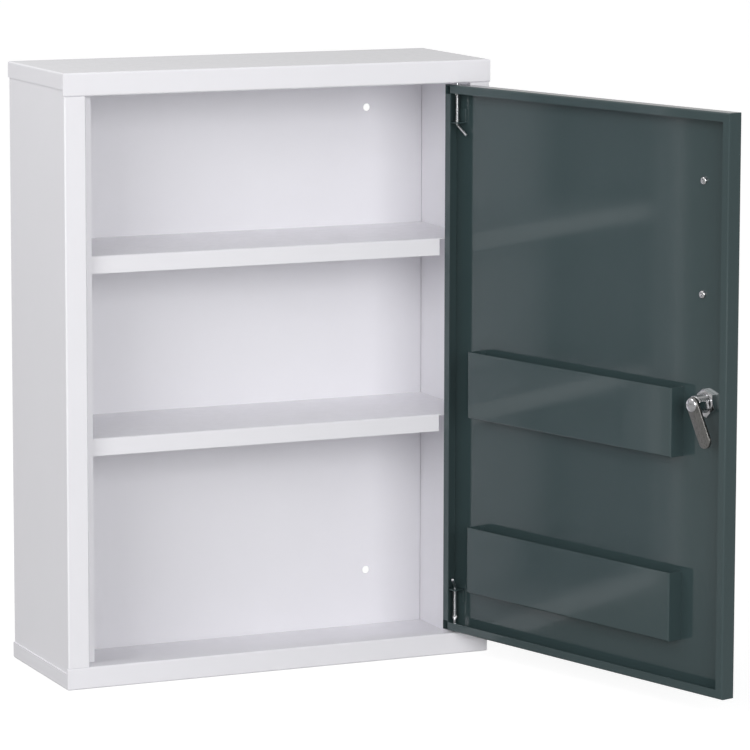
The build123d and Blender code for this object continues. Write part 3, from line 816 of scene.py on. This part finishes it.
class CABINET_OT_cam_lock(Operator):
    """Make the lock's housing, nut, cam and screw, and finish its plug and wafers"""

    bl_idname = "cabinet.cam_lock"
    bl_label = "Make Cam Lock"

    def execute(self, context):
        sizes = context.scene.cabinet_hardware
        chrome = polished_chrome()
        rings = housing_rings(LOCK_HEAD, LOCK_HEAD_HEIGHT, BARREL, BARREL_FLATS, sizes.thread_pitch)
        points, faces = skin(rings, loop=True)
        housing = soften(add_solid("lock_barrel", at_lock(points), faces), 50)
        fit(housing, "door", "lock_chrome", chrome, "lock_housing")
        points, faces = skin(nut_rings(NUT_FLATS, NUT_THICK, NUT_BORE), loop=True)
        points = about_z(points + (0, 0, SHEET), NUT_TURN)
        nut = soften(add_solid("hexagon_nut", at_lock(points), faces), 30)
        fit(nut, "door", "lock_chrome", chrome, "lock_nut")
        points, faces = skin(cam_rings(CAM_WIDTH, CAM_REACH, CAM_THICK, CAM_HOLE), loop=True)
        points = about_z(points + (0, 0, CAM_BASE), CAM_REST)
        cam = soften(add_solid("flat_cam", at_lock(points), faces), 40)
        fit(cam, "cam_assembly", "cam_steel", rolled_steel(), "lock_cam")
        screw = domed_screw(
            "domed_cam_screw", CAM_SCREW, CAM_SCREW_HEAD, CAM_SCREW_HEIGHT, CAM_SCREW_LENGTH)
        placed(screw, lambda points: at_lock(points + (0, 0, CAM_BASE + CAM_THICK)))
        fit(soften(screw, 35), "cam_assembly", "lock_chrome", chrome, "cam_screw")
        finish_nodes(("lock_plug",), machined_brass("plated_plug", (0.70, 0.67, 0.60)))
        finish_nodes(("lock_wafers",), machined_brass("machined_brass", (0.72, 0.56, 0.30)))
        return {"FINISHED"}


class CABINET_OT_stage(Operator):
    """Set the floor, the lights and the camera"""

    bl_idname = "cabinet.stage"
    bl_label = "Set Stage"

    def execute(self, context):
        stage = context.scene.cabinet_stage
        scene = context.scene
        add_floor(stage.floor_colour, stage.floor_radius)
        light_studio(scene)
        stand_camera(scene)
        return {"FINISHED"}


FLOOR_GLOW, FLOOR_GAP, FLOOR_RINGS = 0.76, 0.2 * MM, (0.02, 0.1, 0.3, 1.0)


def add_floor(colour, radius):
    """Round floor just under the cabinet: rings of a disc, x = r cos(t) and y = r sin(t).

    It is grey to the light that it throws back at the cabinet, and glows a little to the eye, so
    the ground behind the cabinet is nearly white.
    """
    level = CAD_BOX[0].z - FLOOR_GAP
    rings = lathe(np.array([(share * radius, level) for share in FLOOR_RINGS]), 96)
    points, faces = skin(rings)
    floor = add_mesh("studio_floor", points, faces[:-1])
    finish = Finish("studio_floor", colour, roughness=0.9)
    finish.set("Base Color", finish.blend(finish.noise(0.8), tinted(colour, 0.99), colour))
    glow = finish.nodes.new("ShaderNodeLightPath").outputs["Is Camera Ray"]
    finish.shader.inputs["Emission Color"].default_value = (1, 1, 1, 1)
    finish.set("Emission Strength", finish.between(glow, low=0, high=FLOOR_GLOW, start=0, end=1))
    floor.data.materials.append(finish.material)


def area_light(name, place, size, power):
    """Rectangular light, turned to the cabinet's middle."""
    light = bpy.data.lights.new(name, "AREA")
    light.shape, light.size, light.size_y = "RECTANGLE", size[0], size[1]
    light.energy = power
    lamp = bpy.data.objects.new(name, light)
    back = np.array(place) / np.linalg.norm(place)
    right = np.cross((0, 0, 1), back)
    right /= np.linalg.norm(right)
    axes = np.column_stack([right, np.cross(back, right), back])
    lamp.matrix_world = Matrix.Translation(place) @ Matrix(axes.tolist()).to_4x4()
    bpy.context.scene.collection.objects.link(lamp)


SURROUND, REAR_GLOW, REAR_SPREAD, SEEN_SURROUND = 0.46, 0.28, 4.0, 0.95
REAR = np.array((0, 1, 0.3)) / math.hypot(1, 0.3)
SOFTBOXES = (
    ("front_softbox", (-0.3, -3.4, 0.7), (1.6, 1.2), 38),
    ("front_left_softbox", (-3.6, -3.6, 1.5), (2.4, 1.8), 68),
    ("near_left_softbox", (-1.0, -0.1, 0.95), (0.5, 0.5), 3.5),
)


def light_studio(scene):
    """Even surround that is brighter behind the cabinet, and three soft boxes turned to its middle.

    The surround's strength is level + glow max(0, d . r)^spread, where d is the direction looked
    in and r points back and a little up. The eye sees it plain and nearly white.
    """
    world = bpy.data.worlds.new("studio")
    world.use_nodes = True
    nodes, links = world.node_tree.nodes, world.node_tree.links
    facing = nodes.new("ShaderNodeVectorMath")
    facing.operation = "DOT_PRODUCT"
    facing.inputs[1].default_value = REAR
    links.new(nodes.new("ShaderNodeTexCoord").outputs["Generated"], facing.inputs[0])
    value = facing.outputs["Value"]
    steps = ("MAXIMUM", 0), ("POWER", REAR_SPREAD), ("MULTIPLY_ADD", REAR_GLOW, SURROUND)
    for operation, *numbers in steps:
        step = nodes.new("ShaderNodeMath")
        step.operation = operation
        links.new(value, step.inputs[0])
        for place, number in enumerate(numbers, 1):
            step.inputs[place].default_value = number
        value = step.outputs["Value"]
    seen = nodes.new("ShaderNodeMix")
    links.new(nodes.new("ShaderNodeLightPath").outputs["Is Camera Ray"], seen.inputs["Factor"])
    links.new(value, seen.inputs["A"])
    seen.inputs["B"].default_value = SEEN_SURROUND
    background = nodes["Background"]
    background.inputs["Color"].default_value = (1, 1, 1, 1)
    links.new(seen.outputs["Result"], background.inputs["Strength"])
    scene.world = world
    for name, place, size, power in SOFTBOXES:
        area_light(name, place, size, power)


def stand_camera(scene):
    """Camera of the photograph: its place, heading, pitch and roll, and a shift of the picture."""
    place = np.array((-1451.17, -3622.28, 584.46)) * MM
    yaw, pitch, roll = math.radians(23.974), math.radians(7.843), math.radians(-0.128)
    focal, centre_y, side = 4156.6, 300.0, 750.0
    forward = np.array([
        math.sin(yaw) * math.cos(pitch), math.cos(yaw) * math.cos(pitch), -math.sin(pitch)])
    right = np.array([math.cos(yaw), -math.sin(yaw), 0.0])
    down = np.cross(forward, right)
    right, down = (
        math.cos(roll) * right + math.sin(roll) * down,
        math.cos(roll) * down - math.sin(roll) * right,
    )
    camera = bpy.data.cameras.new("camera")
    camera.sensor_width = 36
    camera.lens = focal * camera.sensor_width / side
    camera.shift_y = (centre_y - side / 2) / side
    camera.clip_start, camera.clip_end = 0.05, 200
    eye = bpy.data.objects.new("camera", camera)
    axes = np.column_stack([right, -down, -forward])
    eye.matrix_world = Matrix.Translation(place) @ Matrix(axes.tolist()).to_4x4()
    scene.collection.objects.link(eye)
    scene.camera = eye
    scene.view_settings.view_transform = "Standard"


class CABINET_PT_panel(Panel):
    """Sizes, colours and operators of the cabinet"""

    bl_idname = "CABINET_PT_panel"
    bl_label = "Medicine Cabinet"
    bl_space_type = "VIEW_3D"
    bl_region_type = "UI"
    bl_category = "Cabinet"

    def draw(self, context):
        for name in GROUPS:
            group, box = getattr(context.scene, name), self.layout.box()
            for size in group.bl_rna.properties.keys():
                if size not in ("rna_type", "name"):
                    box.prop(group, size)
        for operator in OPERATORS:
            self.layout.operator(operator.bl_idname)


OPERATORS = (
    CABINET_OT_body_paint, CABINET_OT_door_paint, CABINET_OT_hinge_pins,
    CABINET_OT_pull_handle, CABINET_OT_cam_lock, CABINET_OT_stage,
)
GROUPS = {
    "cabinet_paint": CabinetPaint,
    "cabinet_hardware": CabinetHardware,
    "cabinet_stage": CabinetStage,
}
CLASSES = (*GROUPS.values(), *OPERATORS, CABINET_PT_panel)


def register():
    for each in CLASSES:
        bpy.utils.register_class(each)
    for name, group in GROUPS.items():
        setattr(bpy.types.Scene, name, PointerProperty(type=group))


def unregister():
    for name in GROUPS:
        delattr(bpy.types.Scene, name)
    for each in reversed(CLASSES):
        bpy.utils.unregister_class(each)


def main():
    register()
    bpy.ops.cabinet.body_paint()
    bpy.ops.cabinet.door_paint()
    bpy.ops.cabinet.hinge_pins()
    bpy.ops.cabinet.pull_handle()
    bpy.ops.cabinet.cam_lock()
    bpy.ops.cabinet.stage()


if __name__ == "__main__":
    main()
